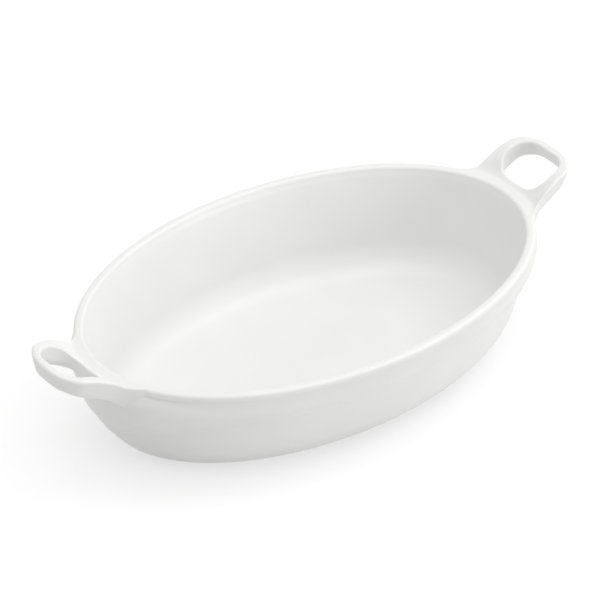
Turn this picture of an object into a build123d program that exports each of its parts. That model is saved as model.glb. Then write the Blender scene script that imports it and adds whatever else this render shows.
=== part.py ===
from build123d import *
import os
from math import atan, cos, pi, radians, sin, tan

# Oval gratin dish with a loop handle luted to each end, in glazed porcelain.
# X runs along the dish through both handles, Y across it, Z up.
# The origin is the middle of the foot, on the surface that the dish stands on.

# Driving dimensions, in millimetres
rim_length = 280.0
rim_width = 180.0
body_height = 64.0
handle_reach = 32.4
handle_rise = 14.2

# Dish body: wall, collar and floor
base_length = 252.5
base_width = 146.5
bottom_corner_radius = 30.0
wall_thickness = 5.5
floor_thickness = 6.5
inner_corner_radius = 20.0
collar_height = 4.0
collar_proud = 0.8
collar_under_radius = 0.6
rim_edge_radius = 2.0
foot_ring_width = 7.0
foot_recess_depth = 1.0

# Swollen end walls that carry the handles
swell_proud = 7.3
swell_height = 46.0
swell_side_gap = 3.0

# Handle: a loop that rises outwards, with sides that lean inwards underneath,
# an oblong finger hole and a dished web at its root
handle_width = 48.8
handle_edge_radius = 2.2
handle_slope = 18.0
handle_depth = 34.0
handle_headroom = 4.0
side_lean = 18.0
tip_lean = 8.0
hole_start = 4.8
hole_length = 24.2
hole_width = 34.6
hole_corner_radius = 9.0
hole_tilt = 14.0
web_rise = 1.2
web_dip = 8.5
web_width = 39.0
web_tilt = 20.0

# How far cutting tools run past what they cut
overrun = 20.0

# Half sizes that several pieces share
rim_half_length = rim_length / 2
rim_half_width = rim_width / 2
base_half_length = base_length / 2
base_half_width = base_width / 2
neck_level = body_height - collar_height

# Level sections of the swollen ends, from under the rim down to the crease:
# share of the swell's height below the rim, share of its proudness at the ends,
# and share of the side gap by which it lies inside the long walls.
swell_shares = (
    (0.06, -0.05, 1.00),
    (0.17, 0.84, 1.30),
    (0.30, 1.00, 0.70),
    (0.48, 0.98, 0.30),
    (0.65, 0.94, 3.10),
    (0.83, 0.44, 6.00),
    (1.00, -0.04, 7.70),
)

# Top line of the handle seen from the side: share of its reach past the rim,
# and share of its rise above the rim.
arm_top_shares = (
    (-0.40, -0.42),
    (-0.09, 0.00),
    (0.09, 0.40),
    (0.27, 0.61),
    (0.53, 0.81),
    (0.97, 1.00),
    (1.20, 1.05),
)

# Under line of the handle: share of its reach, and share of its rise, from tip to root.
arm_under_shares = (
    (1.20, 0.37),
    (1.00, 0.32),
    (0.76, 0.13),
    (0.54, -0.11),
    (0.35, -0.34),
    (0.17, -0.60),
    (0.03, -0.83),
    (-0.18, -1.14),
    (-0.42, -1.44),
)

# Half outline of the handle seen from above: share of its reach past the rim,
# and share of its half width, from root to tip.
plan_shares = (
    (-0.40, 1.22),
    (-0.10, 1.18),
    (0.09, 1.09),
    (0.44, 1.01),
    (0.74, 0.89),
    (0.91, 0.60),
)


def wall_half_sizes(level):
    """Half length and half width of the drafted outer wall at a level above the foot."""
    share = level / body_height
    return (
        base_half_length + (rim_half_length - collar_proud - base_half_length) * share,
        base_half_width + (rim_half_width - collar_proud - base_half_width) * share,
    )


# Outer form of the dish, still solid: drafted wall, collar at the rim, swollen ends
wall_slope = (rim_half_length - base_half_length) / body_height
with BuildPart() as dish_form:
    with BuildSketch(Plane.XY):
        Ellipse(base_half_length, base_half_width)
    with BuildSketch(Plane.XY.offset(body_height)):
        Ellipse(*wall_half_sizes(body_height))
    loft(ruled=True)
    fillet(dish_form.edges().group_by(Axis.Z)[0], bottom_corner_radius)
    with BuildSketch(Plane.XY.offset(neck_level)):
        Ellipse(rim_half_length, rim_half_width)
    extrude(amount=collar_height)
    under_collar = dish_form.edges().filter_by_position(
        Axis.Z, neck_level, neck_level, inclusive=(True, True)
    )
    fillet(under_collar.sort_by(SortBy.LENGTH)[-1], collar_under_radius)

with BuildPart() as swell:
    for depth_share, proud_share, gap_share in swell_shares:
        level = body_height - swell_height * depth_share
        half_length, half_width = wall_half_sizes(level)
        with BuildSketch(Plane.XY.offset(level)):
            Ellipse(
                half_length + swell_proud * proud_share,
                half_width - swell_side_gap * gap_share,
            )
    loft()

with BuildPart() as outer_form:
    add(dish_form.part)
    add(swell.part)

# Hollow of the dish: drafted walls and a generous corner round the floor
with BuildPart() as hollow:
    floor_half_length, floor_half_width = wall_half_sizes(floor_thickness)
    with BuildSketch(Plane.XY.offset(floor_thickness)):
        Ellipse(floor_half_length - wall_thickness, floor_half_width - wall_thickness)
    with BuildSketch(Plane.XY.offset(body_height)):
        Ellipse(rim_half_length - wall_thickness, rim_half_width - wall_thickness)
    loft(ruled=True)
    fillet(hollow.edges().group_by(Axis.Z)[0], inner_corner_radius)

# Dish body: the outer form less its hollow, with a rounded rim and a foot ring
with BuildPart() as dish_body:
    add(outer_form.part)
    add(hollow.part, mode=Mode.SUBTRACT)
    fillet(dish_body.edges().group_by(Axis.Z)[-1], rim_edge_radius)
    corner_run = bottom_corner_radius * tan((pi / 2 - atan(wall_slope)) / 2)
    recess_inset = corner_run + foot_ring_width
    with BuildSketch(Plane.XY):
        Ellipse(base_half_length - recess_inset, base_half_width - recess_inset)
    extrude(amount=foot_recess_depth, mode=Mode.SUBTRACT)

# Handle form: the outline on a slope, narrowing downwards, cut to the side profile,
# with its edges rounded
handle_half_width = handle_width / 2
tip_level = body_height + handle_rise


def side_point(reach_share, rise_share):
    """Point of the handle's side profile, in the XZ plane."""
    return (
        rim_half_length + handle_reach * reach_share,
        body_height + handle_rise * rise_share,
    )


slope = radians(handle_slope)
outline_level = tip_level - handle_reach * tan(slope)
with BuildPart() as handle_form:
    for depth in (-handle_headroom, handle_depth):
        outline_plane = Plane(
            origin=(rim_half_length, 0, outline_level - depth),
            x_dir=(cos(slope), 0, sin(slope)),
            z_dir=(-sin(slope), 0, cos(slope)),
        )
        reach = (handle_reach - depth * tan(radians(tip_lean))) / cos(slope)
        half_width = handle_half_width - depth * tan(radians(side_lean))
        with BuildSketch(outline_plane):
            with BuildLine():
                side = Spline(
                    *[(reach * far, half_width * wide) for far, wide in plan_shares],
                    (reach, 0),
                    tangents=((1, 0), (0, -1)),
                )
                mirror(side, about=Plane.XZ)
                Line(side @ 0, ((side @ 0).X, -(side @ 0).Y))
            make_face()
    loft(ruled=True)
    with BuildSketch(Plane.XZ):
        with BuildLine():
            top = Spline(*[side_point(*share) for share in arm_top_shares])
            under = Spline(*[side_point(*share) for share in arm_under_shares])
            Line(top @ 1, under @ 0)
            Line(under @ 1, top @ 0)
        make_face()
    extrude(amount=rim_half_width, both=True, mode=Mode.INTERSECT)
    root_x = handle_form.vertices().sort_by(Axis.X)[0].X
    long_edges = handle_form.edges().filter_by(
        lambda edge: edge.center().X > root_x + handle_edge_radius
    )
    outline_edges = long_edges.filter_by(lambda edge: edge.length > handle_reach)
    fillet(outline_edges, handle_edge_radius)

# Valley that dishes the web between the rim and the finger hole
hole_start_x = rim_half_length + hole_start
web_plane = Plane(
    origin=(hole_start_x, 0, body_height + web_rise),
    x_dir=(0, 1, 0),
    z_dir=(cos(radians(web_tilt)), 0, sin(radians(web_tilt))),
)
with BuildPart() as web_valley:
    with BuildSketch(web_plane):
        with BuildLine():
            valley = ThreePointArc(
                (-web_width / 2, web_dip), (0, 0), (web_width / 2, web_dip)
            )
            Polyline(
                valley @ 1,
                (web_width / 2, web_dip + overrun),
                (-web_width / 2, web_dip + overrun),
                valley @ 0,
            )
        make_face()
    extrude(amount=overrun, both=True)

# Finger hole, tilted outwards, starting at the foot of the web
hole_plane = Plane(
    origin=(hole_start_x, 0, body_height + web_rise),
    x_dir=(cos(radians(hole_tilt)), 0, sin(radians(hole_tilt))),
    z_dir=(-sin(radians(hole_tilt)), 0, cos(radians(hole_tilt))),
)
with BuildPart() as finger_hole:
    with BuildSketch(hole_plane):
        RectangleRounded(
            hole_length, hole_width, hole_corner_radius, align=(Align.MIN, Align.CENTER)
        )
    extrude(amount=body_height, both=True)

with BuildPart() as handle_right:
    add(handle_form.part)
    add(web_valley.part, mode=Mode.SUBTRACT)
    add(finger_hole.part, mode=Mode.SUBTRACT)
    add(outer_form.part, mode=Mode.SUBTRACT)

with BuildPart() as handle_left:
    add(mirror(handle_right.part, about=Plane.YZ, mode=Mode.PRIVATE))

os.makedirs("parts", exist_ok=True)
dish_body.part.label = "dish_body"
handle_right.part.label = "handle_right"
handle_left.part.label = "handle_left"
export_step(dish_body.part, "parts/dish_body.step")
export_step(handle_right.part, "parts/handle_right.step")
export_step(handle_left.part, "parts/handle_left.step")
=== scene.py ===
import bpy
import numpy as np
from math import cos, pi, radians, sin
from mathutils import Matrix


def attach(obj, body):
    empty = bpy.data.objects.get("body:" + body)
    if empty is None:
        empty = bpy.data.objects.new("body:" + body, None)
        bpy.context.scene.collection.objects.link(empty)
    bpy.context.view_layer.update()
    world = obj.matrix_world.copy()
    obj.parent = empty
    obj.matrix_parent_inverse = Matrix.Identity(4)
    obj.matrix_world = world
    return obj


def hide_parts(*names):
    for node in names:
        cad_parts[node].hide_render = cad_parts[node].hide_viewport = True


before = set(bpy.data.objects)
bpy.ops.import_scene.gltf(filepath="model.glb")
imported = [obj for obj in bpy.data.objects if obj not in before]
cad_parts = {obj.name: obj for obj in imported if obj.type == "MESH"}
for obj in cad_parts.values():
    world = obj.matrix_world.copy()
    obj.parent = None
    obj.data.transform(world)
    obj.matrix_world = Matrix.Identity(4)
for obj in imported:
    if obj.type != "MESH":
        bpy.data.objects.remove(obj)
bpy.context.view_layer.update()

# ---- sizes of the dish in millimetres ----

# Body. Pairs are half a length along X and half a width along Y, levels are over the table
RIM_HALF = np.array([140.0, 90.0])
FOOT_HALF = np.array([126.25, 73.25])
BODY_HEIGHT = 64.0
COLLAR_PROUD = 0.8
COLLAR_HEIGHT = 4.0
COLLAR_LEVEL = BODY_HEIGHT - COLLAR_HEIGHT
COLLAR_EDGE = 0.12
NECK_RADIUS = 0.6
RIM_RADIUS = 2.0
WALL = 5.5
FLOOR = 6.5
OUTER_CORNER = 30.0
INNER_CORNER = 20.0
FOOT_RING = 7.0
FOOT_RECESS = 1.0

# How far the bottom corners run in, and how many degrees they turn before the wall leaves them
OUTER_RUN = 24.6
OUTER_TURN = 78.4
INNER_RUN = 16.2
INNER_TURN = 77.8

# Draft of the walls along X and Y: how much wider they get per unit of level
OUTER_DRAFT = (RIM_HALF - COLLAR_PROUD - FOOT_HALF) / BODY_HEIGHT
INNER_FOOT = FOOT_HALF + OUTER_DRAFT * FLOOR - WALL
INNER_DRAFT = (RIM_HALF - WALL - INNER_FOOT) / (BODY_HEIGHT - FLOOR)

# Swollen ends: level, half length and half width of each level section
SWELL = np.array([
    (12.0, 118.0, 40.0), (18.0, 129.6, 54.4), (25.8, 134.7, 62.0), (34.1, 140.0, 71.8),
    (41.9, 141.9, 81.1), (50.2, 143.7, 85.3), (56.2, 143.75, 83.6), (61.2, 138.3, 83.2),
    (62.8, 134.0, 82.0),
])
SWELL_SOFTNESS = 0.8

# They show above this level, and this push stands for wall points that they miss
SWELL_START = 12.5
NO_SWELL = -50.0

# Mould seam: a hair-thin ridge round the dish that dips under each handle
SEAM_LEVEL = 42.4
SEAM_DIP = 16.4
SEAM_DIP_START = 6.0
SEAM_DIP_RUN = 32.0
SEAM_HEIGHT = 0.24
SEAM_DIP_HEIGHT = 0.30
SEAM_HALF_WIDTH = 0.7

# Rows of the outer wall, as (from level, to level, count): closest where the seam runs level
WALL_ROWS = ((24.6, 40.0, 40), (40.3, 44.5, 14), (45.2, 59.2, 22))

# Rows of the rest of the body's profile, and its columns, which crowd a little at the ends
RECESS_ROWS = 14
STEP_ROWS = 4
FOOT_RING_ROWS = 5
OUTER_CORNER_ROWS = 26
NECK_ROWS = 5
COLLAR_ROWS_OVER_EDGE = (0.7, 1.4)
RIM_ROWS = 9
RIM_ROWS_OVER_MIDDLE = (-0.35, 0.0, 0.35)
INNER_WALL_ROWS = 18
INNER_CORNER_ROWS = 24
FLOOR_ROWS = 16
BODY_COLUMNS = 440
CROWDING_AT_ENDS = 0.14

# Where the rows of recess and floor begin and end, as shares of their ellipses
POLE_SHARE = 0.06
RECESS_SHARE = 0.98
FLOOR_SHARE = 0.97

# Handle: half outline as shares of its reach and half width, from root round the tip
OUTLINE = np.array([
    (-0.40, 1.43), (-0.22, 1.23), (-0.06, 1.09), (0.09, 1.03), (0.44, 0.96),
    (0.74, 0.87), (0.91, 0.60), (1.00, 0.00), (0.91, -0.60),
])
REACH = 32.4
HALF_WIDTH = 24.4
TIP_LEVEL = 78.2
SLOPE = radians(18.0)
EDGE_ROUND = 2.2
OUTLINE_POINTS = 400
ROOT_POINTS = 160
OUTLINE_SETTLING_ROUNDS = 25

# Lean of its tip and sides underneath: the sides' comes in over a short run past the root
TIP_LEAN = radians(8.0)
SIDE_LEAN = radians(18.0)
SIDE_LEAN_START = 133.0
SIDE_LEAN_RUN = 12.0

# Its top and under lines from root to tip, as (x, level)
TOP_LINE = np.array([
    (127.0, 59.0), (132.0, 61.6), (137.1, 64.8), (142.9, 69.7), (148.7, 73.0),
    (157.2, 76.1), (171.4, 78.2), (178.9, 78.9),
])
UNDER_LINE = np.array([
    (126.4, 43.6), (134.2, 47.8), (141.0, 52.2), (145.5, 55.5), (151.3, 59.2),
    (157.5, 62.4), (164.6, 65.8), (172.4, 68.5), (178.9, 69.3),
])

# Where its skin ends in the body: inside the rim, and inside the wall at a level
TOP_ROOT_INSET = 3.2
UNDER_ROOT_INSET = 2.75
UNDER_ROOT_LEVEL = 50.0

# Finger hole, tilted outwards
HOLE_START = 144.8
HOLE_LEVEL = 65.2
HOLE_LENGTH = 24.2
HOLE_MIDDLE = 12.2
HOLE_HALF_WIDTH = 17.1
HOLE_CORNER = 10.5
HOLE_TILT = radians(14.0)
HOLE_ROUND = 1.6
HOLE_UNDER_ROUND = 3.2
HOLE_UNDER_RISE = 2.3
HOLE_CORNER_POINTS = 40
HOLE_SIDE_POINTS = 30
HOLE_SETTLING_ROUNDS = 40

# Web between rim and hole: a round valley that climbs outwards, and steeply past its end
WEB_LEVEL = 66.3
WEB_TILT = radians(20.0)
WEB_RADIUS = 26.6
WEB_END = 152.0
WEB_END_CLIMB = 0.2
WEB_SOFTNESS = 1.2

# Ledge between the arms, level with the rim
LEDGE_LEVEL = 63.93
LEDGE_REACH = 5.6
LEDGE_HALF_WIDTH = 26.0
LEDGE_FADE_RUN = 13.0
LEDGE_FADE_END = 157.0
LEDGE_SOFTNESS = 0.4

# Points of the handle's section on each side and corner, and how many sections there are
TOP_STEPS = 26
SIDE_STEPS = 10
UNDER_STEPS = 14
CORNER_STEPS = 9
HOLE_EDGE_STEPS = 8
HANDLE_COLUMNS = 420

# The most of a section's side that the rounding at one of its ends may take
MOST_ROUND_SHARE = 0.42


def linear(hex_colour):
    """sRGB hex to linear: values under 0.04045 over 12.92, the rest by the 2.4 power."""
    c = np.array([int(hex_colour[i:i + 2], 16) for i in (0, 2, 4)]) / 255.0
    c = np.where(c <= 0.04045, c / 12.92, ((c + 0.055) / 1.055) ** 2.4)
    return (*c, 1.0)


def node(tree, kind, links=(), **settings):
    """Adds a node, sets its properties or named inputs, and links (output, input) pairs."""
    n = tree.nodes.new(kind)
    for name, value in settings.items():
        if hasattr(n, name):
            setattr(n, name, value)
        else:
            n.inputs[name.replace("_", " ")].default_value = value
    for output, place in links:
        tree.links.new(output, n.inputs[place])
    return n


# ---- curves ----

def smooth_line(knots, x):
    """Curve through knots: a cubic between neighbours, with slopes from the chord past each."""
    kx, ky = knots[:, 0], knots[:, 1:]
    slope = np.gradient(ky, kx, axis=0)
    x = np.clip(x, kx[0], kx[-1])
    i = np.clip(np.searchsorted(kx, x) - 1, 0, len(kx) - 2)
    h = (kx[i + 1] - kx[i])[..., None]
    t = (x[..., None] - kx[i][..., None]) / h
    return (
        (2 * t**3 - 3 * t**2 + 1) * ky[i] + (t**3 - 2 * t**2 + t) * h * slope[i]
        + (-2 * t**3 + 3 * t**2) * ky[i + 1] + (t**3 - t**2) * h * slope[i + 1]
    )


def smooth_step(share):
    """Eases a share from 0 to 1, kept between them: three times its square less twice its cube."""
    share = np.clip(share, 0, 1)
    return share * share * (3 - 2 * share)


def soft_max(a, b, softness):
    """The greater of a and b, with the change from one to the other rounded off."""
    return 0.5 * (a + b + np.sqrt((a - b) ** 2 + softness**2))


def arc(centre, radius, start, end, steps):
    """Points on a circle round centre, from one angle to another, both in degrees."""
    angle = np.radians(np.linspace(start, end, steps))
    return np.stack([centre[0] + radius * np.cos(angle), centre[1] + radius * np.sin(angle)], -1)


def corner_arc(start, corner, end, steps):
    """A conic from start to end that turns at corner. Its weight is close to a circle's."""
    t = np.linspace(0, 1, steps)[:, None, None]
    weight = 0.72
    low, mid, high = (1 - t) ** 2, 2 * weight * t * (1 - t), t**2
    return (low * start + mid * corner + high * end) / (low + mid + high)


def rays_to(curve, centre, angle):
    """Distance to a closed curve along each angle, from a centre on the X axis."""
    d = curve - np.array([centre, 0.0])
    way = np.unwrap(np.arctan2(d[:, 1], d[:, 0]))
    order = np.argsort(way)
    return np.interp(angle, way[order], np.hypot(d[:, 0], d[:, 1])[order], period=2 * pi)


# ---- body ----

def wall_half(level):
    """Half sizes of the drafted outer wall at a level: a straight run from foot to neck."""
    return FOOT_HALF + OUTER_DRAFT * np.asarray(level)[..., None]


def hollow_half(level):
    """Half sizes of the drafted inner wall at a level: a straight run from floor to mouth."""
    return INNER_FOOT + INNER_DRAFT * (level - FLOOR)[:, None]


def dish_profile():
    """Rows of the body from under its middle, over the rim, to the middle of the floor.
    Each row is (half length, half width, inset, level, corner): an ellipse moved inwards by
    inset, and by what a bottom corner of that radius takes off the wall."""
    rows = []

    def add(half, inset, level, corner=0.0):
        level = np.atleast_1d(level)
        ones = np.ones(len(level))
        half = np.broadcast_to(half, (len(level), 2))
        rows.append(np.column_stack([half, inset * ones, level, corner * ones]))

    # Underside: shallow recess, its small rounded step, then the foot ring
    recess = FOOT_HALF - OUTER_RUN - FOOT_RING
    shares = np.linspace(POLE_SHARE, RECESS_SHARE, RECESS_ROWS)[:, None]
    add(recess * shares, 0.0, np.full(RECESS_ROWS, FOOT_RECESS))
    step_round = FOOT_RECESS / 2
    for centre, start, end in ((-step_round, 90, 0), (step_round, 180, 270)):
        step = arc((centre, step_round), step_round, start, end, STEP_ROWS)
        add(recess, -step[:, 0], step[:, 1])
    past_step, before_corner = 1.5, 0.5
    ring_inset = np.linspace(OUTER_RUN + FOOT_RING - past_step, OUTER_RUN + before_corner,
                             FOOT_RING_ROWS)
    add(FOOT_HALF, ring_inset, np.zeros(FOOT_RING_ROWS))

    # Outer bottom corner and drafted wall
    turn = np.radians(np.linspace(0, OUTER_TURN, OUTER_CORNER_ROWS))
    level = OUTER_CORNER * (1 - np.cos(turn))
    add(wall_half(level), 0.0, level, OUTER_CORNER)
    level = np.concatenate([np.linspace(*stretch) for stretch in WALL_ROWS])
    add(wall_half(level), 0.0, level)

    # Neck under the collar, then the collar
    turn = np.radians(np.linspace(0, 90, NECK_ROWS))
    add(wall_half(COLLAR_LEVEL), -NECK_RADIUS * (1 - np.cos(turn)),
        COLLAR_LEVEL - NECK_RADIUS * (1 - np.sin(turn)))
    add(RIM_HALF, np.array([COLLAR_EDGE, 0.0]), COLLAR_LEVEL + np.array([0.0, COLLAR_EDGE]))
    add(RIM_HALF, 0.0, COLLAR_LEVEL + np.array(COLLAR_ROWS_OVER_EDGE))

    # Rim: round outside, flat for a stretch, round inside
    turn = np.radians(np.linspace(0, 90, RIM_ROWS))
    rim_inset = RIM_RADIUS * (1 - np.cos(turn))
    rim_level = BODY_HEIGHT - RIM_RADIUS * (1 - np.sin(turn))
    add(RIM_HALF, rim_inset, rim_level)
    flat_inset = WALL / 2 + np.array(RIM_ROWS_OVER_MIDDLE)
    add(RIM_HALF, flat_inset, np.full(len(flat_inset), BODY_HEIGHT))
    add(RIM_HALF - WALL, -rim_inset[::-1], rim_level[::-1])

    # Hollow: drafted inner wall, generous corner, floor
    turn = np.radians(np.linspace(INNER_TURN, 0, INNER_CORNER_ROWS))
    corner_level = FLOOR + INNER_CORNER * (1 - np.cos(turn))
    below_rim, above_corner = 1.5, 1.2
    level = np.linspace(BODY_HEIGHT - RIM_RADIUS - below_rim, corner_level[0] + above_corner,
                        INNER_WALL_ROWS)
    add(hollow_half(level), 0.0, level)
    add(hollow_half(corner_level), 0.0, corner_level, INNER_CORNER)
    shares = np.linspace(FLOOR_SHARE, POLE_SHARE, FLOOR_ROWS)[:, None]
    add((INNER_FOOT - INNER_RUN) * shares, 0.0, np.full(FLOOR_ROWS, FLOOR))
    return np.vstack(rows)


def corner_inset(rise, slope, radius):
    """How far a round bottom corner lies inside a drafted wall at a rise over the flat: the run
    of a circle that touches both, less the circle's half chord there, plus the wall's draft."""
    lean = np.arctan(slope)
    run = radius * np.tan(pi / 4 - lean / 2)
    inset = run - np.sqrt(np.maximum(radius**2 - (radius - rise) ** 2, 0)) + slope * rise
    return np.where(rise < radius * (1 - np.sin(lean)), inset, 0.0)


def swell_push(x, y, nx, ny, level):
    """How far a wall point moves along its normal to the swollen ends' ellipse at its level:
    the greater root of the quadratic for a ray and an ellipse, with a soft start. It is zero
    below the swell and where the ray misses it."""
    half = smooth_line(SWELL, level)
    half_x, half_y = half[:, 0], half[:, 1]
    qa = (nx / half_x) ** 2 + (ny / half_y) ** 2
    qb = x * nx / half_x**2 + y * ny / half_y**2
    qc = (x / half_x) ** 2 + (y / half_y) ** 2 - 1
    root = qb**2 - qa * qc
    reach = np.where(root > 0, (-qb + np.sqrt(np.maximum(root, 0))) / qa, NO_SWELL)
    reach = np.where(level > SWELL_START, reach, NO_SWELL)
    start = SWELL_SOFTNESS**2 / (-4 * NO_SWELL)
    return np.where(reach > NO_SWELL + 1, soft_max(0.0, reach, SWELL_SOFTNESS) - start, 0.0)


def seam_push(y, level):
    """Height of the mould seam: a bell curve across it, round a level that eases down from the
    long walls to the ends, where the ridge is also a little higher."""
    dip = 1 - smooth_step((np.abs(y) - SEAM_DIP_START) / SEAM_DIP_RUN)
    across = (level - SEAM_LEVEL + SEAM_DIP * dip) / SEAM_HALF_WIDTH
    return np.exp(-(across**2)) * (SEAM_HEIGHT + SEAM_DIP_HEIGHT * dip)


def dish_surface():
    """Body of the dish: round each row's ellipse, less its inset along the normal. Outside,
    the wall is pushed out along its normal to the swollen ends and to the fine seam."""
    a, b, inset, level, corner = dish_profile().T
    turn = np.linspace(0, 2 * pi, BODY_COLUMNS, endpoint=False)
    turn = turn - CROWDING_AT_ENDS * np.sin(2 * turn)
    c, s = np.cos(turn)[:, None], np.sin(turn)[:, None]
    x, y = a * c, b * s
    nx, ny = c / a, s / b
    size = np.hypot(nx, ny)
    nx, ny = nx / size, ny / size

    first_rim_row = int(np.argmax(level >= BODY_HEIGHT - RIM_RADIUS))
    outside = np.arange(len(level)) < first_rim_row
    draft = np.where(outside[:, None], OUTER_DRAFT, INNER_DRAFT)
    slope = draft[:, 0] * c * nx + draft[:, 1] * s * ny
    rise = level - np.where(outside, 0.0, FLOOR)
    rounding = corner_inset(rise, slope, np.maximum(corner, 1.0))
    inset = inset + np.where(corner > 0, rounding, 0.0)
    x, y = x - inset * nx, y - inset * ny

    push = swell_push(x, y, nx, ny, level) + seam_push(y, level)
    push = np.where(outside, push, 0.0)
    x, y = x + push * nx, y + push * ny
    return np.stack([x, y, np.broadcast_to(level, x.shape)], -1)


# ---- handle ----

def handle_top(x, y):
    """Level of the handle's top: its arms' line, held back between them by a ledge level with
    the rim, and dished there by a round valley that climbs outwards, changes rounded off. The
    hold falls with the fourth power of y across, and eases away outwards."""
    hold = LEDGE_REACH * np.clip(1 - (y / LEDGE_HALF_WIDTH) ** 4, 0, 1)
    fade = smooth_step((LEDGE_FADE_END - x) / LEDGE_FADE_RUN)
    arms = smooth_line(TOP_LINE, x - hold * fade)[..., 0]
    dip = WEB_RADIUS - np.sqrt(np.maximum(WEB_RADIUS**2 - y**2, 1.0))
    valley = WEB_LEVEL + (x - HOLE_START) * np.tan(WEB_TILT) + dip / np.cos(WEB_TILT)
    valley = valley + WEB_END_CLIMB * np.maximum(x - WEB_END, 0) ** 2
    return soft_max(-soft_max(-arms, -valley, WEB_SOFTNESS), LEDGE_LEVEL, LEDGE_SOFTNESS)


def handle_under(x, y):
    """Level of the handle's underside, a curve that sweeps up from the wall to the tip and
    runs straight across, so y changes nothing."""
    return smooth_line(UNDER_LINE, x)[..., 0]


def hole_under(x, y):
    """Level of the finger hole's under edge, a little above the underside."""
    return handle_under(x, y) + HOLE_UNDER_RISE


def rounded_hole():
    """Outline of the finger hole in its own plane: an oblong with round corners."""
    near, far, half = HOLE_CORNER, HOLE_LENGTH - HOLE_CORNER, HOLE_HALF_WIDTH - HOLE_CORNER
    centres = ((far, half), (near, half), (near, -half), (far, -half))
    corners = [arc(centre, HOLE_CORNER, 90 * k, 90 * k + 90, HOLE_CORNER_POINTS)
               for k, centre in enumerate(centres)]
    outline = []
    for corner, next_corner in zip(corners, corners[1:] + corners[:1]):
        side = np.linspace(corner[-1], next_corner[0], HOLE_SIDE_POINTS)
        outline += [corner, side[1:-1]]
    return np.vstack(outline)


def outline_at(surface, root_half):
    """Closed outline where the leaning sides meet a surface: the half outline's shares times a
    reach and half width that shrink with depth under the sloping plane through the tip,
    worked out again until depth and outline agree, and closed by an ellipse in the wall."""
    run = np.hypot(*np.diff(OUTLINE, axis=0).T)
    knots = np.column_stack([np.concatenate([[0], np.cumsum(run)]), OUTLINE])
    share = smooth_line(knots, np.linspace(0, knots[-2, 0], OUTLINE_POINTS))
    depth = np.zeros(OUTLINE_POINTS)
    for _ in range(OUTLINE_SETTLING_ROUNDS):
        x = RIM_HALF[0] + (REACH - depth * np.tan(TIP_LEAN)) * share[:, 0]
        lean = np.tan(SIDE_LEAN) * np.clip((x - SIDE_LEAN_START) / SIDE_LEAN_RUN, 0, 1)
        y = (HALF_WIDTH - depth * lean) * share[:, 1]
        plane = TIP_LEVEL - (RIM_HALF[0] + REACH - x) * np.tan(SLOPE)
        depth = 0.5 * depth + 0.5 * (plane - surface(x, y))
    wall_x = root_half[0] * np.sqrt(np.maximum(1 - (y / root_half[1]) ** 2, 0))
    keep = x > wall_x
    x, y = x[keep], y[keep]
    root_y = np.linspace(y[0], -y[0], ROOT_POINTS)[1:-1]
    root_x = root_half[0] * np.sqrt(1 - (root_y / root_half[1]) ** 2)
    return np.vstack([
        np.column_stack([x, y])[::-1], np.column_stack([root_x, root_y]),
        np.column_stack([x, -y])[:-1],
    ])


def outline_points(surface, root_half, angle):
    """Points of the outline on a surface, one along each angle from the hole's middle."""
    centre = HOLE_START + HOLE_MIDDLE * cos(HOLE_TILT)
    far = rays_to(outline_at(surface, root_half), centre, angle)
    x, y = centre + far * np.cos(angle), far * np.sin(angle)
    return np.stack([x, y, surface(x, y)], -1)


def hole_points(surface, angle):
    """Points where the tilted hole meets a surface, one along each angle in the hole's plane,
    moved along the hole until they lie on the surface."""
    far = rays_to(rounded_hole() - np.array([HOLE_MIDDLE, 0.0]), 0.0, angle)
    along, y = HOLE_MIDDLE + far * np.cos(angle), far * np.sin(angle)
    depth = np.zeros(len(angle))
    for _ in range(HOLE_SETTLING_ROUNDS):
        x = HOLE_START + along * cos(HOLE_TILT) - depth * sin(HOLE_TILT)
        level = surface(x, y)
        depth = (level - HOLE_LEVEL - along * sin(HOLE_TILT)) / cos(HOLE_TILT)
    return np.stack([x, y, level], -1)


def shares_between(low, high, steps):
    """Shares of the way from low to high, evenly spaced, a row of columns for each step."""
    return (low + (high - low) * np.linspace(0, 1, steps)[:, None])[..., None]


def run_over(start, end, surface, first, last, steps, rise=0.0):
    """Rows of points from start to end over a surface that climbs by rise on the way, less the
    lengths that the roundings at both ends take."""
    length = np.linalg.norm((end - start)[:, :2], axis=1)
    low = np.minimum(first / length, MOST_ROUND_SHARE)
    high = 1 - np.minimum(last / length, MOST_ROUND_SHARE)
    share = shares_between(low, high, steps)
    xy = start[:, :2] + (end - start)[:, :2] * share
    level = surface(xy[..., 0], xy[..., 1])[..., None] + rise * share
    return np.concatenate([xy, level], -1)


def run_straight(start, end, first, last, steps):
    """Rows of points straight from start to end, less what the roundings at both ends take."""
    length = np.linalg.norm(end - start, axis=1)
    return start + (end - start) * shares_between(first / length, 1 - last / length, steps)


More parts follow.
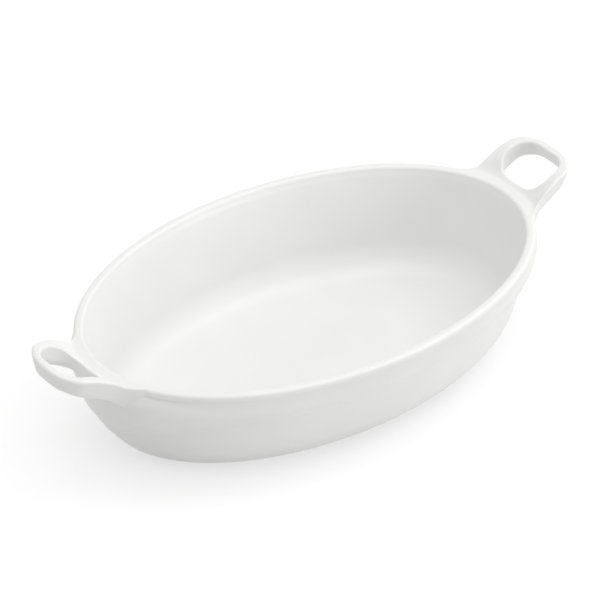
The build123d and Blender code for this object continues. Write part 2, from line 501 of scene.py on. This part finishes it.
def handle_surface():
    """Handle: a closed section carried round the finger hole. Each section runs over the top
    from the hole to the outline, down the side, back under and up the hole, corners rounded."""
    angle = np.linspace(-pi, pi, HANDLE_COLUMNS, endpoint=False)
    top_in, low_in = hole_points(handle_top, angle), hole_points(hole_under, angle)
    top_out = outline_points(handle_top, RIM_HALF - TOP_ROOT_INSET, angle)
    low_out = outline_points(handle_under, wall_half(UNDER_ROOT_LEVEL) - UNDER_ROOT_INSET, angle)

    top = run_over(top_in, top_out, handle_top, HOLE_ROUND, EDGE_ROUND, TOP_STEPS)
    side = run_straight(top_out, low_out, EDGE_ROUND, EDGE_ROUND, SIDE_STEPS)
    low = run_over(low_out, low_in, handle_under, EDGE_ROUND, HOLE_UNDER_ROUND, UNDER_STEPS,
                   HOLE_UNDER_RISE)
    bore = run_straight(low_in, top_in, HOLE_UNDER_ROUND, HOLE_ROUND, SIDE_STEPS)
    section = np.concatenate([
        top, corner_arc(top[-1], top_out, side[0], CORNER_STEPS)[1:-1],
        side, corner_arc(side[-1], low_out, low[0], CORNER_STEPS)[1:-1],
        low, corner_arc(low[-1], low_in, bore[0], CORNER_STEPS)[1:-1],
        bore, corner_arc(bore[-1], top_in, top[0], HOLE_EDGE_STEPS)[1:-1],
    ])
    return section.transpose(1, 0, 2)


# ---- material ----

def pattern_scale(size):
    """Noise scale for a pattern of that size in millimetres, on coordinates in metres."""
    return 1000.0 / size


def glazed_porcelain():
    """White porcelain under a clear satin glaze, dipped and fired. The eye sees an even soft
    white with broad, faint highlights. The glaze lies in slow waves about 14 mm long, and in
    patches about 40 mm wide where it is a little thicker, glossier and whiter. The wiped foot
    ring shows the dry, greyer body."""
    m = bpy.data.materials.new("satin glazed porcelain")
    m.use_nodes = True
    t = m.node_tree
    shader = t.nodes["Principled BSDF"]
    place = node(t, "ShaderNodeTexCoord")

    # Slow waves of the glaze
    wave = node(t, "ShaderNodeTexNoise", [(place.outputs["Object"], "Vector")],
                Scale=pattern_scale(14.0), Detail=1.0, Roughness=0.4)
    bump = node(t, "ShaderNodeBump", [(wave.outputs["Fac"], "Height")],
                Strength=0.08, Distance=0.0006)

    # The foot ring is what lies within 0.3 mm of the table
    where = node(t, "ShaderNodeSeparateXYZ", [(place.outputs["Object"], "Vector")])
    foot = node(t, "ShaderNodeMath", [(where.outputs["Z"], 0)], operation="LESS_THAN")
    foot.inputs[1].default_value = 0.0003

    # Tone and sheen: thin to thick glaze, then the dry foot
    patch = node(t, "ShaderNodeTexNoise", [(place.outputs["Object"], "Vector")],
                 Scale=pattern_scale(40.0), Detail=2.0, Roughness=0.5)
    tone = node(t, "ShaderNodeMix", [(patch.outputs["Fac"], 0)], data_type="RGBA")
    tone.inputs[6].default_value = linear("EEEEEC")
    tone.inputs[7].default_value = linear("F4F4F4")
    colour = node(t, "ShaderNodeMix", [(foot.outputs[0], 0), (tone.outputs[2], 6)],
                  data_type="RGBA")
    colour.inputs[7].default_value = linear("DDDAD3")
    sheen = node(t, "ShaderNodeMapRange", [(patch.outputs["Fac"], 0)], To_Min=0.42, To_Max=0.30)
    gloss = node(t, "ShaderNodeMapRange", [(foot.outputs[0], 0), (sheen.outputs[0], "To Min")],
                 To_Max=0.85)
    t.links.new(colour.outputs[2], shader.inputs["Base Color"])
    t.links.new(gloss.outputs[0], shader.inputs["Roughness"])
    t.links.new(bump.outputs[0], shader.inputs["Normal"])
    shader.inputs["IOR"].default_value = 1.5
    return m


# ---- pieces ----

def make_piece(name, grid, wrap, poles, material):
    """A mesh from a grid of points (columns, rows, 3): columns close on themselves,
    rows close too where wrap is true, and poles cap the first and last rows."""
    columns, rows = grid.shape[:2]
    index = np.arange(columns * rows).reshape(columns, rows)
    a = index if wrap else index[:, :-1]
    b = np.roll(index, -1, axis=1) if wrap else index[:, 1:]
    quads = np.stack([a, np.roll(a, -1, axis=0), np.roll(b, -1, axis=0), b], -1).reshape(-1, 4)
    points = grid.reshape(-1, 3)
    faces = quads.tolist()
    if poles:
        points = np.vstack([points, grid[:, 0].mean(0), grid[:, -1].mean(0)])
        low, high = columns * rows, columns * rows + 1
        nxt = np.roll(index, -1, axis=0)
        faces += np.stack([np.full(columns, low), nxt[:, 0], index[:, 0]], -1).tolist()
        faces += np.stack([np.full(columns, high), index[:, -1], nxt[:, -1]], -1).tolist()
    mesh = bpy.data.meshes.new(name)
    mesh.from_pydata((points / 1000.0).tolist(), [], faces)
    mesh.polygons.foreach_set("use_smooth", np.ones(len(faces), dtype=bool))
    mesh.materials.append(material)
    mesh.validate()
    piece = bpy.data.objects.new(name, mesh)
    bpy.context.scene.collection.objects.link(piece)
    return piece


glaze = glazed_porcelain()

body = make_piece("glazed_body", dish_surface(), False, True, glaze)
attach(body, "root")
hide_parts("dish_body")

right_grid = handle_surface()
left_grid = (right_grid * np.array([-1.0, 1.0, 1.0]))[::-1]
for side, grid in (("right", right_grid), ("left", left_grid)):
    handle = make_piece("glazed_handle_" + side, grid, True, False, glaze)
    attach(handle, "root")
    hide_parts("handle_" + side)


# ---- paper floor and white surround, in metres from here on ----

PAPER_HALF = 6.0
PAPER_GLOW = 0.58
SURROUND_LIGHT = 0.64
SURROUND_SEEN = 1.0

scene = bpy.context.scene


def seen_directly(tree):
    """1 for rays from the camera, or by way of gloss or glass, and 0 for the rest."""
    path = node(tree, "ShaderNodeLightPath")
    both = node(tree, "ShaderNodeMath", [(path.outputs["Is Camera Ray"], 0),
                                         (path.outputs["Is Glossy Ray"], 1)], operation="MAXIMUM")
    return node(tree, "ShaderNodeMath", [(both.outputs[0], 0),
                                         (path.outputs["Is Transmission Ray"], 1)],
                operation="MAXIMUM").outputs[0]


def paper_floor():
    """Matt white paper sweep. Where it is seen it glows a little, which lifts it to the white
    of the background and leaves the dish's shadow faint."""
    m = bpy.data.materials.new("matt white paper")
    m.use_nodes = True
    t = m.node_tree
    shader = t.nodes["Principled BSDF"]
    seen = seen_directly(t)
    colour = node(t, "ShaderNodeMix", [(seen, 0)], data_type="RGBA")
    colour.inputs[6].default_value = linear("DADADA")
    colour.inputs[7].default_value = linear("B9B9B9")
    glow = node(t, "ShaderNodeMath", [(seen, 0)], operation="MULTIPLY")
    glow.inputs[1].default_value = PAPER_GLOW
    t.links.new(colour.outputs[2], shader.inputs["Base Color"])
    t.links.new(glow.outputs[0], shader.inputs["Emission Strength"])
    shader.inputs["Emission Color"].default_value = linear("FFFFFF")
    shader.inputs["Roughness"].default_value = 0.9
    shader.inputs["Specular IOR Level"].default_value = 0.0
    return m


floor_mesh = bpy.data.meshes.new("floor")
paper_corners = np.array([(-1, -1, 0), (1, -1, 0), (1, 1, 0), (-1, 1, 0)]) * PAPER_HALF
floor_mesh.from_pydata(paper_corners.tolist(), [], [(0, 1, 2, 3)])
floor_mesh.materials.append(paper_floor())
floor = bpy.data.objects.new("floor", floor_mesh)
scene.collection.objects.link(floor)

world = bpy.data.worlds.new("white studio")
scene.world = world
world.use_nodes = True
t = world.node_tree
t.nodes.clear()
surround = node(t, "ShaderNodeMix", [(seen_directly(t), 0)], data_type="RGBA")
surround.inputs[6].default_value = (SURROUND_LIGHT, SURROUND_LIGHT, SURROUND_LIGHT, 1.0)
surround.inputs[7].default_value = (SURROUND_SEEN, SURROUND_SEEN, SURROUND_SEEN, 1.0)
light = node(t, "ShaderNodeBackground", [(surround.outputs[2], "Color")], Strength=1.0)
node(t, "ShaderNodeOutputWorld", [(light.outputs[0], "Surface")])


# ---- lamps and camera ----

def facing(azimuth, height, distance, target=(0.0, 0.0, 0.0)):
    """Place of a lamp or camera that faces a target, upright, from a bearing in degrees from +X
    and a height in degrees over the table."""
    a, e = radians(azimuth), radians(height)
    back = np.array([cos(a) * cos(e), sin(a) * cos(e), sin(e)])
    right = np.array([-sin(a), cos(a), 0.0])
    m = np.eye(4)
    m[:3, 0], m[:3, 1], m[:3, 2] = right, np.cross(back, right), back
    m[:3, 3] = np.array(target) + back * distance
    return Matrix(m.tolist())


# Soft square lamps: name, bearing, height, distance, size and power in watts
for name, azimuth, height, distance, size, power in (
    ("top", 0, 89, 2.2, 1.6, 11.0),
    ("side", -20, 52, 2.4, 1.2, 9.4),
    ("front", -60, 12, 2.4, 1.1, 12.0),
):
    lamp_data = bpy.data.lights.new(name, "AREA")
    lamp_data.size, lamp_data.energy = size, power
    lamp = bpy.data.objects.new(name, lamp_data)
    lamp.matrix_world = facing(azimuth, height, distance)
    scene.collection.objects.link(lamp)

# The photograph's viewing angle, from the rim's ellipse and the two handles
camera_data = bpy.data.cameras.new("camera")
camera_data.sensor_width = 36.0
camera_data.lens = 270.0
camera_data.clip_end = 50.0
camera = bpy.data.objects.new("camera", camera_data)
camera.matrix_world = facing(azimuth=-127.67345, height=34.70315, distance=2.3895,
                             target=(-0.01783, -0.01603, 0.064))
scene.collection.objects.link(camera)
scene.camera = camera
scene.view_settings.view_transform = "Standard"
